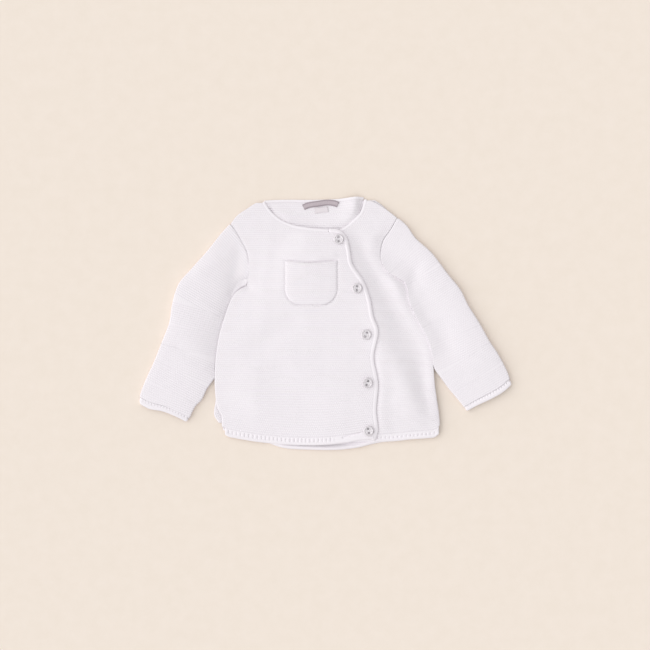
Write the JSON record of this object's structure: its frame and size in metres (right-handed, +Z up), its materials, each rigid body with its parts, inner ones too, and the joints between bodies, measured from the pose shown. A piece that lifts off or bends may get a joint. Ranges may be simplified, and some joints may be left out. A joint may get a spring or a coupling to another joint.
{
  "type": "baby cardigan",
  "caption": "Baby cardigan laid flat, front up: garter-stitch cotton with a wrapped front, long sleeves, a chest patch pocket and round metal buttons.",
  "frame": {"origin": "middle of the garment's outline, on the surface that it lies on", "axes": "+X towards the wearer's left sleeve, +Y towards the neck, +Z up out of the front"},
  "size_m": [0.4462, 0.3038, 0.0156],
  "materials": {
    "garter_knit": "matt cotton garter stitch, off-white",
    "edging_knit": "matt cotton edging with small ribs, off-white",
    "button_metal": "pewter grey, soft shine",
    "label_tape": "plain grey woven tape",
    "tab_tape": "plain white woven tape"
  },
  "bodies": {
    "root": {"back": "garter_knit", "front_right": "garter_knit", "front_left": "garter_knit", "sleeve_right": "garter_knit", "sleeve_left": "garter_knit", "cuff_right": "edging_knit", "cuff_left": "edging_knit", "hem_back": "edging_knit", "hem_right_front": "edging_knit", "hem_left_front": "edging_knit", "neck_back": "edging_knit", "neck_right_front": "edging_knit", "neck_left_front": "edging_knit", "front_edge": "edging_knit", "pocket": "garter_knit", "button_1": "button_metal", "button_2": "button_metal", "button_3": "button_metal", "button_4": "button_metal", "button_5": "button_metal", "neck_label": "label_tape", "size_tab": "tab_tape"}
  },
  "joints": []
}
